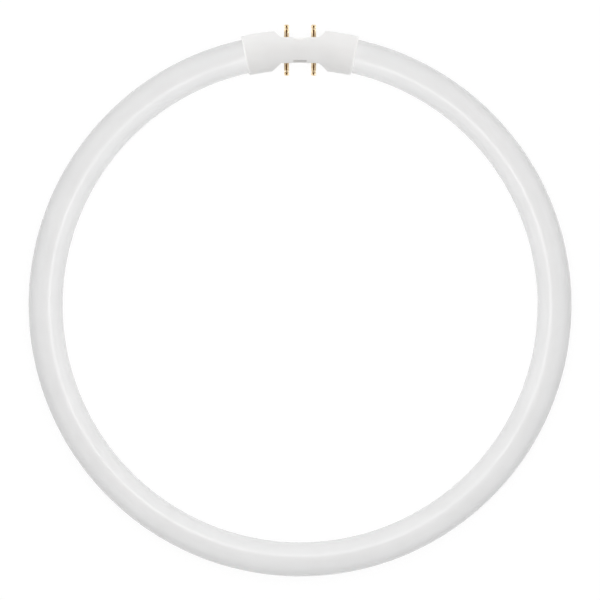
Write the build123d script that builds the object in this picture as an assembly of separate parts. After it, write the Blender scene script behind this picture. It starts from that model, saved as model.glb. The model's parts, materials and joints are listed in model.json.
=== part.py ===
"""Circular LED tube: a sealed opal ring with a moulded base in two halves and four contact pins.

The ring lies flat, +Z up, with its base on the +Y side and one end of the tube in each collar of it.
Everything is built about the ring's centre, on its mean plane, in millimetres. The last step moves
it all so that the origin is under the middle of the outline, level with the collars' underside.
An angle along the ring is measured from +Y, the middle of the base, and is positive towards +X.
"""
from build123d import *
import math
import os

# Ring tube
ring_outer_diameter = 255.0
tube_diameter = 16.0
tube_end_round = 0.8

# Base: a round body that follows the ring, with a collar at each end
base_length = 52.0  # along its own centreline
collar_wall = 1.25  # mean wall round the bore
collar_offset = 0.3  # how far the collars sit outside the tube's centreline
bore_clearance = 0.15
mouth_land = 1.2  # stretch at the mouth that closes on the tube
lip_round = 0.9
cement_groove_depth = 0.35
shell_wall = 1.5

# Waist: two flats for the lamp holder's jaws, with a slope up to each collar
waist_width = 12.1
flat_beyond_pins = 2.65
waist_slope = 45.0
waist_corner_round = 0.8
edge_round = 0.4
tube_end_wall = 2.2  # from the tube's inner rim to the slope beside it
stop_thickness = 1.5
lead_opening_diameter = 10.0

# Notch in each flat: its floor is a land on the mean plane, which the holder's lugs snap over
notch_to_pins = 3.2  # from the notch's side to the nearest pin's axis
notch_depth = 1.4
notch_wall = 1.1
land_thickness = 3.0
land_inset = 0.2
land_chamfer = 0.4  # lead-in for the lugs, on both of the land's edges

# Contact pins
pin_spacing = 12.7
pin_diameter = 2.35
pin_free_length = 6.0
pin_tip_round = 0.7
shoulder_width = 0.25
flange_width = 0.4
flange_thickness = 0.8
tail_wall = 0.4
crimp_to_tip = 2.0
crimp_radius = 0.6
crimp_depth = 0.22

# Lead wires
conductor_diameter = 0.8
conductor_in_pin = 3.0  # how far the bare end reaches past the flat
lead_diameter = 1.1
lead_spacing = 1.9

# Ribs that hold the pins' flanges, and the pegs that join the two halves
rib_thickness = 1.0
rib_beyond_flange = 0.6
peg_spacing = 5.0
peg_diameter = 2.0
peg_height = 2.5
peg_chamfer = 0.3
peg_hole_spare = 0.5
boss_wall = 0.9

# Ring and base, worked out from the sizes above
tube_radius = tube_diameter / 2
ring_radius = ring_outer_diameter / 2 - tube_radius
bore_radius = tube_radius + bore_clearance
collar_radius = bore_radius + collar_wall
base_radius = ring_radius + collar_offset
base_half_angle = math.degrees(base_length / 2 / base_radius)

pin_x = pin_spacing / 2
flat_half = pin_x + flat_beyond_pins
waist_middle = (base_radius + math.sqrt(base_radius**2 - flat_half**2)) / 2
slope = math.radians(waist_slope)

# The tube ends where its inner rim is tube_end_wall away from the inner slope
slope_reach = flat_half * math.sin(slope) + (waist_middle - waist_width / 2) * math.cos(slope)
rim_radius = ring_radius - tube_radius
tube_end_angle = waist_slope - math.degrees(math.acos((tube_end_wall + slope_reach) / rim_radius))
grip_angle = base_half_angle - tube_end_angle
cavity_angle = tube_end_angle - math.degrees(stop_thickness / ring_radius)
land_angle = math.degrees(mouth_land / ring_radius)
cement_angles = (tube_end_angle + grip_angle / 3, tube_end_angle + grip_angle * 2 / 3)

# Places along a pin, from the flat it stands on
flange_front = -shell_wall
flange_back = flange_front - flange_thickness
tail_end = flange_back - rib_thickness
pin_radius = pin_diameter / 2
seat_radius = pin_radius + shoulder_width
flange_radius = seat_radius + flange_width
conductor_radius = conductor_diameter / 2
tail_radius = conductor_radius + tail_wall

notch_half = pin_x - notch_to_pins
peg_radius = peg_diameter / 2
thinnest_mouth = collar_radius - collar_offset - tube_radius

# The ring's centre, seen from the origin
pin_reach = waist_middle + waist_width / 2 + pin_free_length
ring_centre = Pos(0, (ring_outer_diameter / 2 - pin_reach) / 2, collar_radius)

# Where a rod's surface closes on itself, round its section: clear of ribs, bosses and the mean plane
seam_angle = 45.0

LEFT, RIGHT = -1, 1
INNER, OUTER = -1, 1
SIDE_NAMES = {LEFT: "left", RIGHT: "right"}
ROW_NAMES = {INNER: "inner", OUTER: "outer"}


def arc_rod(path_radius, rod_radius, start, end):
    """A round rod that follows the ring from one angle to another."""
    section = Plane.YZ * Pos(path_radius, 0) * Rot(0, 0, seam_angle) * Circle(rod_radius)
    return Rot(0, 0, -end) * revolve(section, Axis.Z, end - start)


def side_rod(side, path_radius, rod_radius, start, end):
    """The same on the left or the right of the base."""
    first, last = sorted((side * start, side * end))
    return arc_rod(path_radius, rod_radius, first, last)


def block(low, high):
    """A box between two corners, given in any order."""
    pairs = [sorted(pair) for pair in zip(low, high)]
    sizes = [b - a for a, b in pairs]
    middles = [(a + b) / 2 for a, b in pairs]
    return Pos(*middles) * Box(*sizes)


def flat_y(row, depth=0.0):
    """Y of one of the two flats, or of what lies that deep under it."""
    return waist_middle + row * (waist_width / 2 - depth)


def waist_cut(row, wall):
    """What the waist leaves out on one side. With a wall, the same form set that far inwards."""
    floor = flat_y(row, wall)
    half = flat_half + wall * math.tan(slope / 2)
    rise = 2 * collar_radius
    run = rise / math.tan(slope)
    corners = [
        (-half - run, floor + row * rise),
        (-half, floor),
        (half, floor),
        (half + run, floor + row * rise),
    ]
    profile = make_face(Polyline(*corners, close=True))
    floor_corners = profile.vertices().filter_by(lambda v: abs(v.Y - floor) < collar_radius)
    profile = fillet(floor_corners, waist_corner_round + wall)
    return extrude(profile, 2 * collar_radius, both=True)


def waist_rims(form):
    """The edges where the waist's flats and slopes meet the round body."""
    cut_faces = form.faces().filter_by(lambda f: f.geom_type != GeomType.TORUS)
    cut_faces = cut_faces.sort_by(Axis.X)[1:-1]
    return ShapeList(e for f in cut_faces for e in f.edges() if e.geom_type != GeomType.LINE)


def notch(row):
    """One flat's notch, open to the front and the back, with the chamfered land left between."""
    top = flat_y(row, -1)
    land_top = flat_y(row, land_inset)
    above = collar_radius
    cut = block((-notch_half, land_top, -above), (notch_half, top, above))
    for face in (-1, 1):
        land_face = face * land_thickness / 2
        low = (-notch_half, flat_y(row, notch_depth), land_face)
        cut += block(low, (notch_half, top, face * above))
        corners = [
            (land_top, land_face),
            (flat_y(row, land_inset + land_chamfer), land_face),
            (land_top, land_face - face * land_chamfer),
        ]
        wedge = make_face(Plane.YZ * Polyline(*corners, close=True))
        cut += extrude(wedge, notch_half, both=True)
    return cut


def base_form():
    """The base from outside, as if both halves were one solid block."""
    form = arc_rod(base_radius, collar_radius, -base_half_angle, base_half_angle)
    for row in (INNER, OUTER):
        form -= waist_cut(row, 0)
    form = fillet(waist_rims(form), edge_round)
    end_faces = form.faces().filter_by(GeomType.PLANE).sort_by(Axis.X)
    lips = end_faces[0].edges() + end_faces[-1].edges()
    form = fillet(lips, min(lip_round, 0.85 * thinnest_mouth))
    for row in (INNER, OUTER):
        form -= notch(row)
    return form


def on_pin(side, row):
    """Where one pin stands: its own +Z points out of the flat."""
    return Pos(side * pin_x, flat_y(row), 0) * Rot(-90 * row, 0, 0)


def turned(radius, start, end):
    """A cylinder on a pin's axis."""
    return Pos(0, 0, start) * Cylinder(radius, end - start, align=(Align.CENTER, Align.CENTER, Align.MIN))


def pin_root():
    """What the housing holds of a pin: its shoulder, flange and tail."""
    root = turned(seat_radius, flange_front, 0)
    root += turned(flange_radius, flange_back, flange_front)
    return root + turned(tail_radius, tail_end, flange_back)


def pin(side, row):
    """A hollow contact pin with a rounded tip, rolled in at the crimp."""
    shaft = turned(pin_radius, 0, pin_free_length)
    tip = shaft.edges().filter_by(GeomType.CIRCLE).sort_by(Axis.Z)[-1]
    body = pin_root() + fillet(tip, min(pin_tip_round, 0.9 * pin_radius))
    roller = Torus(pin_radius + crimp_radius - crimp_depth, crimp_radius)
    body -= Pos(0, 0, pin_free_length - crimp_to_tip) * roller
    body -= turned(conductor_radius, tail_end, conductor_in_pin)
    return on_pin(side, row) * body


def lead(side, row):
    """A lead wire, square on the tube's end, bent up to its pin and bared inside it."""
    angle = math.radians(tube_end_angle)
    along = Vector(-side * math.cos(angle), math.sin(angle))
    corner = Vector(side * pin_x, waist_middle + row * lead_spacing / 2)
    start = corner - along * corner.dot(along)
    finish = Vector(side * pin_x, flat_y(row, -tail_end))
    bend = 0.7 * (finish - corner).length
    path = FilletPolyline(start, corner, finish, radius=bend)
    wire = sweep(Plane(start, z_dir=along) * Circle(lead_diameter / 2), path)
    return wire + on_pin(side, row) * turned(conductor_radius, tail_end, conductor_in_pin)


def peg_place(side):
    """Where a peg stands on the mean plane."""
    return Pos(side * peg_spacing / 2, waist_middle, 0)


def cavity():
    """The room inside the base, with its ribs, bosses and the walls behind the notches left out."""
    solid = []
    rib_half = pin_x + flange_radius + rib_beyond_flange
    pad_half = notch_half + notch_wall
    for row in (INNER, OUTER):
        solid.append(waist_cut(row, shell_wall))
        pad_low = (-pad_half, flat_y(row, notch_depth + notch_wall), -collar_radius)
        solid.append(block(pad_low, (pad_half, flat_y(row), collar_radius)))
        rib_low = (-rib_half, flat_y(row, -flange_back), -collar_radius)
        solid.append(block(rib_low, (rib_half, flat_y(row, -tail_end), collar_radius)))
    for side in (LEFT, RIGHT):
        solid.append(peg_place(side) * Cylinder(peg_radius + boss_wall, 2 * collar_radius))
    room = arc_rod(base_radius, collar_radius - shell_wall, -cavity_angle, cavity_angle)
    return room - solid


def collar_bore(side):
    """The space for one end of the tube: its bore, stop, mouth, cement groove and lead opening."""
    stop = tube_end_angle
    mouth = base_half_angle
    space = side_rod(side, ring_radius, bore_radius, stop, mouth - land_angle)
    space += side_rod(side, ring_radius, tube_radius, stop, mouth + land_angle)
    groove = bore_radius + cement_groove_depth
    space += side_rod(side, ring_radius, groove, *cement_angles)
    opening = lead_opening_diameter / 2
    return space + side_rod(side, ring_radius, opening, cavity_angle - land_angle, stop + land_angle)


def cement(side):
    """The ring of cement that bonds one end of the tube into its collar."""
    ring = side_rod(side, ring_radius, bore_radius + cement_groove_depth, *cement_angles)
    return ring - side_rod(side, ring_radius, tube_radius, tube_end_angle, base_half_angle)


def base_halves():
    """The housing, parted on the mean plane: the front half has sockets, the back half pegs."""
    housing = base_form() - cavity()
    for side in (LEFT, RIGHT):
        housing -= collar_bore(side)
        for row in (INNER, OUTER):
            housing -= on_pin(side, row) * pin_root()
    front = split(housing, Plane.XY, Keep.TOP)
    back = split(housing, Plane.XY, Keep.BOTTOM)
    for side in (LEFT, RIGHT):
        front -= peg_place(side) * turned(peg_radius, 0, peg_height + peg_hole_spare)
        peg = turned(peg_radius, -peg_height, peg_height)
        top = peg.edges().filter_by(GeomType.CIRCLE).sort_by(Axis.Z)[-1]
        back += peg_place(side) * chamfer(top, peg_chamfer)
    return front, back


def tube():
    """The sealed ring tube, its two ends rounded over."""
    rod = arc_rod(ring_radius, tube_radius, tube_end_angle, 360 - tube_end_angle)
    rims = rod.faces().filter_by(GeomType.PLANE).edges()
    return fillet(rims, tube_end_round)


def build():
    """Every piece by its node's name, about the ring's centre."""
    front, back = base_halves()
    pieces = {"tube": tube(), "base_front": front, "base_back": back}
    for side, side_name in SIDE_NAMES.items():
        pieces[f"cement_{side_name}"] = cement(side)
        for row, row_name in ROW_NAMES.items():
            pieces[f"pin_{row_name}_{side_name}"] = pin(side, row)
            pieces[f"lead_{row_name}_{side_name}"] = lead(side, row)
    return pieces


os.makedirs("parts", exist_ok=True)
for name, piece in build().items():
    export_step(ring_centre * piece, f"parts/{name}.step")
print(f"ring centre y {ring_centre.position.Y:.3f}, mean plane z {collar_radius:.3f}")
print(f"flats y {flat_y(INNER) + ring_centre.position.Y:.3f}, {flat_y(OUTER) + ring_centre.position.Y:.3f}")
print(f"tube end {tube_end_angle:.3f} deg, base end {base_half_angle:.3f} deg")
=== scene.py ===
# %% [markdown]
# # A circular LED tube
# The real object is a ring lamp: an opal tube bent to a circle, with a white moulded base that bridges
# its two ends and carries four gold-coloured contact pins. It lies flat, and the camera looks straight
# down on it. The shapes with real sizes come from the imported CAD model, which is loaded here as a fixed
# frame. What is left for Blender is the look: a smoother tube, five materials, a floor and soft studio
# light.

import bmesh
import bpy
import json
import numpy as np
from mathutils import Matrix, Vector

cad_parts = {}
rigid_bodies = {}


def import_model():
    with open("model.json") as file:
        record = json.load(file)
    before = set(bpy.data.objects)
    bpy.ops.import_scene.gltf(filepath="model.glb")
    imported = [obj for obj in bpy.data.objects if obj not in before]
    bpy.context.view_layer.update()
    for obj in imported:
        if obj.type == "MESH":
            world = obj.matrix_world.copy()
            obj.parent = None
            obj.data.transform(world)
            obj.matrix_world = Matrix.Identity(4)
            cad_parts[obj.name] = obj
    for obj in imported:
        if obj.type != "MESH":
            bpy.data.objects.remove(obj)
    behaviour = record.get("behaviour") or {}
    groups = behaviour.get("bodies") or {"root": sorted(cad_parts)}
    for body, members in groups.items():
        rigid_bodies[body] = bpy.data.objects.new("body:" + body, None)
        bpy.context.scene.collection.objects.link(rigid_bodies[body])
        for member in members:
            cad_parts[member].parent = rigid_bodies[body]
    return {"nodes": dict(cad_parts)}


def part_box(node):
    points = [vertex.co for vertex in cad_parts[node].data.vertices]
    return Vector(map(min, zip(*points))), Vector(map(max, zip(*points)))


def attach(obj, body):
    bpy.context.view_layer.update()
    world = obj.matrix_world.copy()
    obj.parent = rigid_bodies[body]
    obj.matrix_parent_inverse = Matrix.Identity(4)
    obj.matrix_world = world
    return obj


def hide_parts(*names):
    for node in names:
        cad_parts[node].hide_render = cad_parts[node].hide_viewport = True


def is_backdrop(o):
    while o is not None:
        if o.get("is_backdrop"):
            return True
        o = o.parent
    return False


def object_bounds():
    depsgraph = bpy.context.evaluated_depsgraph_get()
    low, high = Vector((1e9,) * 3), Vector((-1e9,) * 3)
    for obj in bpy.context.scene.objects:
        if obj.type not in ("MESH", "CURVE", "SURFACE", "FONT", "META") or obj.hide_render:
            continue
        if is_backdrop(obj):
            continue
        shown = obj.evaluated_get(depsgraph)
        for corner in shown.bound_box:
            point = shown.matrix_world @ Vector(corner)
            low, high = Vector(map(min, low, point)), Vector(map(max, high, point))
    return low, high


for left_over in list(bpy.data.objects):
    bpy.data.objects.remove(left_over)

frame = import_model()
nodes = frame["nodes"]
cad_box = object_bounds()
print("CAD nodes:", ", ".join(sorted(nodes)))

# %% [markdown]
# ## Sizes
# Blender works in metres and a lamp maker in millimetres, so lengths are written in millimetres and
# scaled once. The ring's sizes are the same as in the CAD source. Its centre isn't the origin: the origin
# is under the middle of the outline, and the pins reach out on the +Y side only.

# %% Sizes of the ring
MM = 0.001
tube_radius = 8.0 * MM
ring_radius = 119.5 * MM
tube_end_angle = np.radians(7.855)
tube_end_round = 0.8 * MM
ring_centre = np.array([0.0, -2.09, 9.4]) * MM

tube_low, tube_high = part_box("tube")
print("CAD tube is", round((tube_high.x - tube_low.x) / MM, 2), "mm across")

# %% [markdown]
# ## The camera
# The photograph shows the ring as a perfect circle, and the base's two flats edge on. A short lens close
# by would show the tube's inner side and one flat's wall. A camera with no perspective at all would do as
# well, but this one only stands far off behind a very long lens, as a real camera could.

# %% Put the camera far above, with a long lens
view_width = 281.8 * MM  # what the photograph's width covers at the ring's height
aim = np.array([-0.04, 0.21, 9.4]) * MM  # the photograph's middle

camera_data = bpy.data.cameras.new("long lens")
camera_data.sensor_width = 36  # mm
camera_data.lens = 1500  # mm
camera_height = view_width * camera_data.lens / camera_data.sensor_width
camera = bpy.data.objects.new("camera", camera_data)
camera.location = aim + np.array([0, 0, camera_height])
bpy.context.scene.collection.objects.link(camera)
bpy.context.scene.camera = camera
print("camera stands", round(camera_height, 3), "m above the ring")

# %% [markdown]
# ## A mesh from a grid
# A tube's surface is a function of two parameters, the place along it and the place round it. Both are
# worked out for a whole grid of points at once, and are kept as a UV map, so that a material can follow
# the surface.

# %% A helper that turns a grid of points into a closed mesh
merge_distance = 0.001 * MM


def grid_piece(name, points, uv):
    """A mesh from points[row, column], where the last column joins the first. Four neighbours make a
    face: (r, c), (r+1, c), (r+1, c+1), (r, c+1), which is anticlockwise seen from outside. The map
    uv[row, column] has one column more, so that it doesn't jump back where the columns join. Points
    that fall together are merged, which closes the two ends. A volume above 0 shows that the faces
    point outwards."""
    rows, columns = points.shape[:2]
    index = np.arange(rows * columns).reshape(rows, columns)
    beside = np.roll(index, -1, axis=1)
    quads = np.stack([index[:-1], index[1:], beside[1:], beside[:-1]], axis=-1)
    quad_uv = np.stack([uv[:-1, :-1], uv[1:, :-1], uv[1:, 1:], uv[:-1, 1:]], axis=-2)
    mesh = bpy.data.meshes.new(name)
    mesh.from_pydata(points.reshape(-1, 3), [], quads.reshape(-1, 4).tolist())
    layer = mesh.uv_layers.new(name="length_and_girth")
    layer.data.foreach_set("uv", quad_uv.astype(np.float32).ravel())
    mesh.polygons.foreach_set("use_smooth", np.ones(len(mesh.polygons), bool))
    joined = bmesh.new()
    joined.from_mesh(mesh)
    bmesh.ops.remove_doubles(joined, verts=joined.verts, dist=merge_distance)
    open_edges = sum(edge.is_boundary for edge in joined.edges)
    volume = joined.calc_volume(signed=True)
    joined.to_mesh(mesh)
    joined.free()
    mesh.update()
    piece = bpy.data.objects.new(name, mesh)
    bpy.context.scene.collection.objects.link(piece)
    print(name, "has", len(mesh.polygons), "faces and", open_edges, "open edges")
    print(name, "encloses", round(volume / MM**3), "cubic mm")
    return piece


# %% [markdown]
# ## The opal tube
# The real tube is drawn glass, heated and bent on a drum until its ends almost meet. A torus primitive
# has no ends and a curve with a bevel gives little control of them, so the tube is a round profile
# carried along an arc. The profile shrinks at both ends, which rounds them over and closes them inside
# the base.

# %% Where the tube's rings of points lie, and how wide each is
arc_steps = 800
girth_steps = 96
round_steps = 7

turn = np.linspace(0, np.pi / 2, round_steps)
end_radius = np.concatenate([[0], tube_radius - tube_end_round * (1 - np.sin(turn))])
end_reach = np.concatenate([[0], tube_end_round * (1 - np.cos(turn))]) / ring_radius
half_arc = np.pi - tube_end_angle
middle = np.linspace(end_reach[-1] - half_arc, half_arc - end_reach[-1], arc_steps + 1)[1:-1]
arc = np.concatenate([end_reach - half_arc, middle, half_arc - end_reach[::-1]])
radius = np.concatenate([end_radius, np.full(len(middle), tube_radius), end_radius[::-1]])
tube_length = 2 * half_arc * ring_radius
print(len(arc), "rings of", girth_steps, "points along", round(tube_length / MM, 1), "mm")

# %% [markdown]
# ### From the two parameters to a surface
# One formula places every point. The girth has one more step in the map than in the mesh, because a map
# can't wrap round.

# %% Carry a circle along the arc


def ring_point(arc, radius, girth):
    """A point on the tube. arc is the angle along the ring from -Y, radius the tube's own radius there,
    and girth the angle round the tube from its outer side. The reach is the ring's radius plus radius
    times the cosine of girth. Then x is reach times the sine of arc, y is minus reach times the cosine
    of arc, and z is radius times the sine of girth, all from the ring's centre."""
    reach = ring_radius + radius * np.cos(girth)
    point = np.stack([reach * np.sin(arc), -reach * np.cos(arc), radius * np.sin(girth)], axis=-1)
    return point + ring_centre


girth = np.linspace(0, 2 * np.pi, girth_steps + 1)
arc_grid, girth_grid = np.meshgrid(arc, girth, indexing="ij")
tube_points = ring_point(arc_grid, radius[:, None], girth_grid)[:, :-1]
tube_uv = np.stack([arc_grid * ring_radius, girth_grid * tube_radius], axis=-1)
opal_tube = grid_piece("opal_tube", tube_points, tube_uv)
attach(opal_tube, "root")
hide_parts("tube")

# %% [markdown]
# ## Colours and nodes
# Colours are written as sRGB hex values, as a paint chart gives them. Blender calculates in linear light,
# so one function converts them. A second one adds a shader node with its settings and its links.
# Where a node has sockets of the same name, their number is given. On a Mix node, input 0 is the factor, 2
# and 3 are two numbers with their mix in output 0, and 6 and 7 are two colours with their mix in output 2.

# %% Helpers for materials
noise_low = 0.3  # most of a noise texture's values lie between these two
noise_high = 0.7


def linear(hex_colour):
    """sRGB hex to linear red, green, blue and alpha. Each channel c, from 0 to 1, becomes c / 12.92 up to
    0.04045, and ((c + 0.055) / 1.055) to the power 2.4 above it."""
    c = np.array([int(hex_colour[i : i + 2], 16) for i in (1, 3, 5)]) / 255
    c = np.where(c <= 0.04045, c / 12.92, ((c + 0.055) / 1.055) ** 2.4)
    return (*c.tolist(), 1.0)


def add(tree, kind, sockets=None, **settings):
    """Adds a node: settings are its own, and sockets gives its inputs a value or another node's output."""
    node = tree.nodes.new(kind)
    for name, value in settings.items():
        setattr(node, name, value)
    for name, value in (sockets or {}).items():
        if isinstance(value, bpy.types.NodeSocket):
            tree.links.new(value, node.inputs[name])
        else:
            node.inputs[name].default_value = value
    return node


def new_material(name):
    """A material whose node tree is empty, and that tree, for the caller to fill."""
    material = bpy.data.materials.new(name)
    material.use_nodes = True
    material.node_tree.nodes.clear()
    return material, material.node_tree


def dress(piece, material):
    """Gives a piece one material in place of what it had."""
    piece.data.materials.clear()
    piece.data.materials.append(material)
    print(piece.name, "is", material.name)


# %% [markdown]
# ## Opal glass
# Opal glass is milky right through: light goes in, scatters and comes out again some millimetres away, so
# its shading is softer than that of a painted tube. Its skin is fire-polished but not optically flat,
# with faint draw lines along the tube. A painted white surface would shade too hard, so it gets
# subsurface scattering. The light is let 6 mm deep, and the roughness is what makes the lamp's mirror
# image as wide as it is in the photograph.

# %% Opal glass, drawn and bent
draw_line_length = 80 * MM
draw_line_spacing = 4 * MM  # real ones are finer, and wouldn't show in this picture
draw_line_depth = 0.05 * MM
draw_line_strength = 0.05
cloud_width = 17 * MM
glass_light_depth = 6 * MM
line_scale = (1 / draw_line_length, 1 / draw_line_spacing, 1)

opal_glass, tree = new_material("opal glass, drawn and bent")
place = add(tree, "ShaderNodeTexCoord")
along = add(tree, "ShaderNodeMapping", {"Vector": place.outputs["UV"], "Scale": line_scale})
lines = add(tree, "ShaderNodeTexNoise", {"Vector": along.outputs["Vector"], "Scale": 1.0, "Detail": 3.0})
skin = add(
    tree,
    "ShaderNodeBump",
    {"Height": lines.outputs["Fac"], "Strength": draw_line_strength, "Distance": draw_line_depth},
)
clouds = add(
    tree,
    "ShaderNodeTexNoise",
    {"Vector": place.outputs["Object"], "Scale": 1 / cloud_width, "Detail": 2.0},
)
milk = add(tree, "ShaderNodeValToRGB", {"Fac": clouds.outputs["Fac"]})
milk.color_ramp.elements[0].position = noise_low
milk.color_ramp.elements[0].color = linear("#E9E9E9")
milk.color_ramp.elements[1].position = noise_high
milk.color_ramp.elements[1].color = linear("#ECECEC")
glass = add(
    tree,
    "ShaderNodeBsdfPrincipled",
    {
        "Base Color": milk.outputs["Color"],
        "Roughness": 0.25,
        "IOR": 1.5,
        "Subsurface Weight": 1.0,
        "Subsurface Radius": (1.0, 1.0, 1.0),
        "Subsurface Scale": glass_light_depth,
        "Normal": skin.outputs["Normal"],
    },
)
add(tree, "ShaderNodeOutputMaterial", {"Surface": glass.outputs["BSDF"]})
dress(opal_tube, opal_glass)
dress(nodes["tube"], opal_glass)  # the CAD tube, which the new one replaces

# %% [markdown]
# ## White moulded plastic
# The base is two half shells of white PBT, which stands the heat near a lamp. It is milky too, but light
# gets less than a millimetre deep: any deeper, and the walls would show the cement and the hollow behind
# them. The mould's spark-eroded skin leaves a fine satin grain, and the melt's flow makes broad, faint
# waves. The halves meet at the ring's mean plane, where a real base shows a hairline. The two solids
# touch there without a gap, so the hairline is drawn: a narrow grey line at that height.

# %% The grain, the flow and the seam
grain_width = 0.6 * MM  # real grain is 0.03 mm, too fine for this picture
flow_width = 11 * MM
hairline_half = 0.03 * MM
hairline_fade = 0.09 * MM

white_plastic, tree = new_material("PBT plastic, moulded")
place = add(tree, "ShaderNodeTexCoord")
grain = add(
    tree,
    "ShaderNodeTexNoise",
    {"Vector": place.outputs["Object"], "Scale": 1 / grain_width, "Detail": 2.0},
)
flow = add(
    tree,
    "ShaderNodeTexNoise",
    {"Vector": place.outputs["Object"], "Scale": 1 / flow_width, "Detail": 1.0},
)
axes = add(tree, "ShaderNodeSeparateXYZ", {"Vector": place.outputs["Object"]})
from_plane = add(tree, "ShaderNodeMath", {0: axes.outputs["Z"], 1: ring_centre[2]}, operation="SUBTRACT")
away = add(tree, "ShaderNodeMath", {0: from_plane.outputs["Value"]}, operation="ABSOLUTE")
seam = add(
    tree,
    "ShaderNodeMapRange",
    {"Value": away.outputs["Value"], "From Min": hairline_half, "From Max": hairline_fade},
    interpolation_type="SMOOTHSTEP",
)
print("the hairline is grey for", round(2 * hairline_half / MM, 2), "mm")
print("the hairline fades out over", round(2 * hairline_fade / MM, 2), "mm in all")

# %% PBT plastic, moulded
grain_depth = 0.04 * MM
grain_strength = 0.25
plastic_light_depth = 0.6 * MM

height = add(tree, "ShaderNodeMath", {0: grain.outputs["Fac"], 1: flow.outputs["Fac"]}, operation="ADD")
skin = add(
    tree,
    "ShaderNodeBump",
    {"Height": height.outputs["Value"], "Strength": grain_strength, "Distance": grain_depth},
)
tint = add(tree, "ShaderNodeValToRGB", {"Fac": flow.outputs["Fac"]})
tint.color_ramp.elements[0].position = noise_low
tint.color_ramp.elements[0].color = linear("#F4F3F2")
tint.color_ramp.elements[1].position = noise_high
tint.color_ramp.elements[1].color = linear("#F6F5F4")
seamed = add(
    tree,
    "ShaderNodeMix",
    {0: seam.outputs["Result"], 6: linear("#B4B4B0"), 7: tint.outputs["Color"]},
    data_type="RGBA",
)
plastic = add(
    tree,
    "ShaderNodeBsdfPrincipled",
    {
        "Base Color": seamed.outputs[2],
        "Roughness": 0.45,
        "IOR": 1.5,
        "Subsurface Weight": 1.0,
        "Subsurface Radius": (1.0, 1.0, 1.0),
        "Subsurface Scale": plastic_light_depth,
        "Normal": skin.outputs["Normal"],
    },
)
add(tree, "ShaderNodeOutputMaterial", {"Surface": plastic.outputs["BSDF"]})
dress(nodes["base_front"], white_plastic)
dress(nodes["base_back"], white_plastic)

# %% [markdown]
# ## Brass
# The pins are drawn brass with a thin gold-coloured plating, cut to length and rolled in near the tip. A
# metal's colour is that of its reflections, so it is set paler than the pins look, and the room does the
# rest.

# %% Brass, drawn and plated
wear_width = 1.1 * MM

brass, tree = new_material("brass, drawn and plated")
place = add(tree, "ShaderNodeTexCoord")
wear = add(
    tree,
    "ShaderNodeTexNoise",
    {"Vector": place.outputs["Object"], "Scale": 1 / wear_width, "Detail": 3.0},
)
tint = add(tree, "ShaderNodeValToRGB", {"Fac": wear.outputs["Fac"]})
tint.color_ramp.elements[0].position = noise_low
tint.color_ramp.elements[0].color = linear("#E0C596")
tint.color_ramp.elements[1].position = noise_high
tint.color_ramp.elements[1].color = linear("#F6E6C9")
metal = add(
    tree,
    "ShaderNodeBsdfPrincipled",
    {"Base Color": tint.outputs["Color"], "Metallic": 1.0, "Roughness": 0.2},
)
add(tree, "ShaderNodeOutputMaterial", {"Surface": metal.outputs["BSDF"]})
for name in nodes:
    if name.startswith("pin_"):
        dress(nodes[name], brass)

# %% [markdown]
# ## What the base holds
# The lead wires and the cement rings are inside the closed base. They get their true colours, for whoever
# takes the lamp apart: silicone with a faint bloom, and cement with its sand.

# %% Silicone, extruded
bloom_width = 2.5 * MM

silicone, tree = new_material("silicone, extruded")
place = add(tree, "ShaderNodeTexCoord")
bloom = add(tree, "ShaderNodeTexNoise", {"Vector": place.outputs["Object"], "Scale": 1 / bloom_width})
tint = add(tree, "ShaderNodeValToRGB", {"Fac": bloom.outputs["Fac"]})
tint.color_ramp.elements[0].color = linear("#DCDCD6")
tint.color_ramp.elements[1].color = linear("#EAEAE4")
rubber = add(
    tree,
    "ShaderNodeBsdfPrincipled",
    {"Base Color": tint.outputs["Color"], "Roughness": 0.35, "IOR": 1.41},
)
add(tree, "ShaderNodeOutputMaterial", {"Surface": rubber.outputs["BSDF"]})

# %% Cement, cured
sand_width = 0.8 * MM  # real sand is 0.1 to 0.2 mm, too fine for this picture
sand_depth = 0.1 * MM
sand_strength = 0.5

cement, tree = new_material("cement, cured")
place = add(tree, "ShaderNodeTexCoord")
sand = add(
    tree,
    "ShaderNodeTexNoise",
    {"Vector": place.outputs["Object"], "Scale": 1 / sand_width, "Detail": 4.0},
)
tint = add(tree, "ShaderNodeValToRGB", {"Fac": sand.outputs["Fac"]})
tint.color_ramp.elements[0].color = linear("#CFC8B8")
tint.color_ramp.elements[1].color = linear("#E4DFD2")
skin = add(
    tree,
    "ShaderNodeBump",
    {"Height": sand.outputs["Fac"], "Strength": sand_strength, "Distance": sand_depth},
)
paste = add(
    tree,
    "ShaderNodeBsdfPrincipled",
    {"Base Color": tint.outputs["Color"], "Roughness": 0.9, "Normal": skin.outputs["Normal"]},
)
add(tree, "ShaderNodeOutputMaterial", {"Surface": paste.outputs["BSDF"]})
for name in nodes:
    if name.startswith("lead_"):
        dress(nodes[name], silicone)
    if name.startswith("cement_"):
        dress(nodes[name], cement)

# %% [markdown]
# ## The floor
# The photograph's ground is pure white. The floor shows white to the camera and in reflections, and keeps
# a part of its lit surface in the mix, so that the shadow under the ring is still there, very pale. Seen
# from below, it would hide the lamp, so there the camera looks through it.

# %% A flat floor
floor_half = 2.0  # metres, well past the picture's edges
floor_mesh = bpy.data.meshes.new("floor")
corners = np.array([[-1, -1, 0], [1, -1, 0], [1, 1, 0], [-1, 1, 0]]) * floor_half
floor_mesh.from_pydata(corners, [], [(0, 1, 2, 3)])
floor = bpy.data.objects.new("floor", floor_mesh)
bpy.context.scene.collection.objects.link(floor)
floor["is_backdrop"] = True
print("the floor is", 2 * floor_half, "m wide")

# %% White paper that keeps the shadow
floor_white = 0.88  # the white that it shows by itself
floor_lit = 0.15  # the part of the light on it that is added

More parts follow.
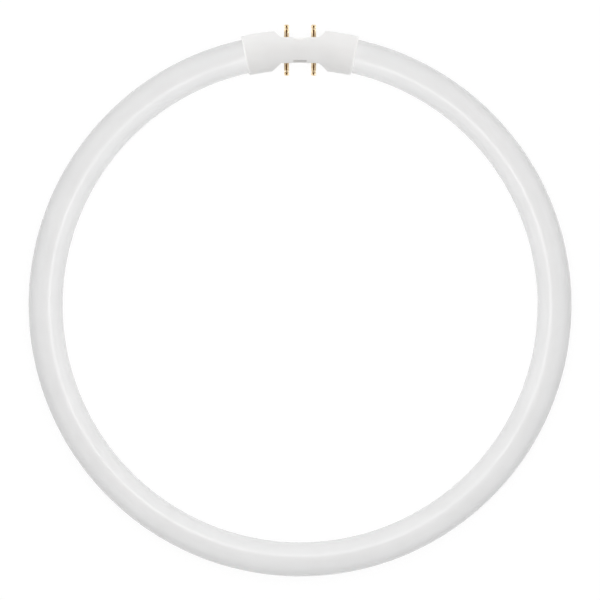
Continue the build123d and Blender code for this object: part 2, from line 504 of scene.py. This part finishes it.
paper, tree = new_material("paper, matt white")
rays = add(tree, "ShaderNodeLightPath")
mirrored = add(
    tree,
    "ShaderNodeMath",
    {0: rays.outputs["Is Transmission Ray"], 1: rays.outputs["Is Glossy Ray"]},
    operation="MAXIMUM",
)
seen = add(
    tree,
    "ShaderNodeMath",
    {0: mirrored.outputs["Value"], 1: rays.outputs["Is Camera Ray"]},
    operation="MAXIMUM",
)
lit = add(tree, "ShaderNodeBsdfDiffuse", {"Color": linear("#F2F2F2")})
part_lit = add(tree, "ShaderNodeBsdfDiffuse", {"Color": (floor_lit, floor_lit, floor_lit, 1)})
white = add(tree, "ShaderNodeEmission", {"Color": linear("#FFFFFF"), "Strength": floor_white})
pale = add(tree, "ShaderNodeAddShader", {0: part_lit.outputs["BSDF"], 1: white.outputs["Emission"]})
from_above = add(
    tree,
    "ShaderNodeMixShader",
    {0: seen.outputs["Value"], 1: lit.outputs["BSDF"], 2: pale.outputs["Shader"]},
)

# %% The same paper, clear to the camera from below
side_met = add(tree, "ShaderNodeNewGeometry")
from_below = add(
    tree,
    "ShaderNodeMath",
    {0: side_met.outputs["Backfacing"], 1: rays.outputs["Is Camera Ray"]},
    operation="MULTIPLY",
)
clear = add(tree, "ShaderNodeBsdfTransparent")
surface = add(
    tree,
    "ShaderNodeMixShader",
    {0: from_below.outputs["Value"], 1: from_above.outputs["Shader"], 2: clear.outputs["BSDF"]},
)
add(tree, "ShaderNodeOutputMaterial", {"Surface": surface.outputs["Shader"]})
dress(floor, paper)

# %% [markdown]
# ## The light
# The photograph's tube and base don't share one light. The tube carries a narrow bright line all the way
# round, which only a small lamp on the ring's axis can draw, while the base is brightest behind and at
# its two ends. Light linking keeps each lamp to one group of pieces, and to that group's shadows, so the
# collars put no dark line on the tube beside them. The floor is a group of its own, and takes the shadow
# of every piece.

# %% Three groups that a lamp can be kept to
glass_group = bpy.data.collections.new("lit as glass")
base_group = bpy.data.collections.new("lit as base")
floor_group = bpy.data.collections.new("lit as floor")
glass_group.objects.link(opal_tube)
floor_group.objects.link(floor)
for name in nodes:
    if name != "tube":
        base_group.objects.link(nodes[name])

# %% A helper for soft lamps


def soft_lamp(name, group, position, size, brightness, shape="RECTANGLE", shine=False):
    """A flat lamp aimed at the ring's centre. Its power is brightness times pi times its area, as for any
    evenly lit matt surface, so its size doesn't change how bright it looks. It lights only its group,
    and only that group can block it, but every piece blocks the floor's lamps. With shine, it is seen
    in reflections."""
    width, depth = size
    lamp_data = bpy.data.lights.new(name, "AREA")
    lamp_data.shape = shape
    lamp_data.size = width
    lamp_data.size_y = depth
    area = width * depth * (np.pi / 4 if shape == "DISK" else 1)
    lamp_data.energy = brightness * np.pi * area
    lamp = bpy.data.objects.new(name, lamp_data)
    back = (position - ring_centre) / np.linalg.norm(position - ring_centre)
    steep = back[2] > 0.9
    across = np.cross([0.0, 1.0, 0.0] if steep else [0.0, 0.0, 1.0], back)
    across = across / np.linalg.norm(across)
    turned = np.eye(4)
    turned[:3, 0] = across
    turned[:3, 1] = np.cross(back, across)
    turned[:3, 2] = back
    turned[:3, 3] = position
    lamp.matrix_world = Matrix(turned.tolist())
    bpy.context.scene.collection.objects.link(lamp)
    lamp.visible_camera = False
    lamp.visible_glossy = shine
    lamp.light_linking.receiver_collection = group
    lamp.light_linking.blocker_collection = None if group == floor_group else group
    print(name, "gives", round(lamp_data.energy, 2), "W")


# %% Where the lamps stand, in metres from the ring's centre
on_axis = ring_centre + [0, 0, 0.25]
overhead = ring_centre + [0, 0, 1.2]
behind_base = ring_centre + [0, 0.7, 0.5]
before_ring = ring_centre + [0, -0.7, 0.5]
above_base = ring_centre + [0, 0.45, 1.2]
at_left = ring_centre + [-0.5, 0, 0.05]
at_right = ring_centre + [0.5, 0, 0.05]

# %% How wide and deep they are, in metres
disk = (0.086, 0.086)
window = (0.8, 0.4)
skylight = (1.2, 1.2)
narrow_skylight = (1.2, 0.5)
strip = (0.5, 0.08)

# %% Lamps for the tube
soft_lamp("lamp_glass_top", glass_group, on_axis, disk, brightness=4.5, shape="DISK", shine=True)
soft_lamp("lamp_glass_back", glass_group, behind_base, window, brightness=0.7)
soft_lamp("lamp_glass_high", glass_group, overhead, skylight, brightness=1.92)

# %% Lamps for the floor
soft_lamp("lamp_floor_back", floor_group, behind_base, window, brightness=0.75)
soft_lamp("lamp_floor_high", floor_group, overhead, skylight, brightness=2.1)

# %% [markdown]
# The base's overhead lamp stands back towards +Y, so that it shines past the inner flat's notch. That is
# why the notch shows as a grey line there, and the outer one hardly at all.

# %% Lamps for the base
soft_lamp("lamp_base_back", base_group, behind_base, window, brightness=0.85)
soft_lamp("lamp_base_front", base_group, before_ring, window, brightness=0.3)
soft_lamp("lamp_base_high", base_group, above_base, narrow_skylight, brightness=3.85)
soft_lamp("lamp_base_left", base_group, at_left, strip, brightness=5.0, shine=True)
soft_lamp("lamp_base_right", base_group, at_right, strip, brightness=5.0, shine=True)

# %% [markdown]
# ## The room around the lamps
# The camera sees a white room. In reflections it has a brown ceiling, which is what puts the dark line
# along the middle of each shiny pin. As a light it is dim overhead, where the lamps are, and brighter
# round the sides, so that what faces sideways isn't left too dark.

# %% Where the ceiling starts
ceiling_edge = 0.8  # height on a sphere of radius 1 round the lamp
edge_softness = 0.05

world = bpy.data.worlds.new("studio")
bpy.context.scene.world = world
world.use_nodes = True
tree = world.node_tree
tree.nodes.clear()
rays = add(tree, "ShaderNodeLightPath")
place = add(tree, "ShaderNodeTexCoord")
way = add(tree, "ShaderNodeSeparateXYZ", {"Vector": place.outputs["Generated"]})
ceiling = add(
    tree,
    "ShaderNodeMapRange",
    {
        "Value": way.outputs["Z"],
        "From Min": ceiling_edge - edge_softness,
        "From Max": ceiling_edge + edge_softness,
    },
    interpolation_type="SMOOTHSTEP",
)
print("the ceiling starts", round(np.degrees(np.arcsin(ceiling_edge))), "degrees up")

# %% What each kind of ray meets
sky_brightness = 0.55
ceiling_brightness = 0.1

wood = add(
    tree,
    "ShaderNodeMix",
    {0: ceiling.outputs["Result"], 6: linear("#FFFFFF"), 7: linear("#5C3A20")},
    data_type="RGBA",
)
reflected = add(tree, "ShaderNodeBackground", {"Color": wood.outputs[2], "Strength": 1.0})
dim = add(tree, "ShaderNodeMix", {0: ceiling.outputs["Result"], 2: 1.0, 3: ceiling_brightness})
fill = add(tree, "ShaderNodeBackground", {"Color": dim.outputs[0], "Strength": sky_brightness})
plain = add(tree, "ShaderNodeBackground", {"Color": linear("#FFFFFF"), "Strength": 1.0})
direct = add(
    tree,
    "ShaderNodeMath",
    {0: rays.outputs["Is Camera Ray"], 1: rays.outputs["Is Transmission Ray"]},
    operation="MAXIMUM",
)
room = add(
    tree,
    "ShaderNodeMixShader",
    {0: rays.outputs["Is Glossy Ray"], 1: fill.outputs["Background"], 2: reflected.outputs["Background"]},
)
studio = add(
    tree,
    "ShaderNodeMixShader",
    {0: direct.outputs["Value"], 1: room.outputs["Shader"], 2: plain.outputs["Background"]},
)
add(tree, "ShaderNodeOutputWorld", {"Surface": studio.outputs["Shader"]})
print(world.name, "has", len(tree.nodes), "nodes")

# %% [markdown]
# ## The picture's settings and the last checks
# The Standard transform shows a colour as it is written. The two boxes are kept to compare the dressed
# lamp with the CAD model.

# %% Standard colours and the two boxes
bpy.context.scene.view_settings.view_transform = "Standard"
new_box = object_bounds()
growth = [round((new - old) / MM, 3) for old, new in zip(cad_box[1], new_box[1])]
print("box grew by", growth, "mm at its high corner")
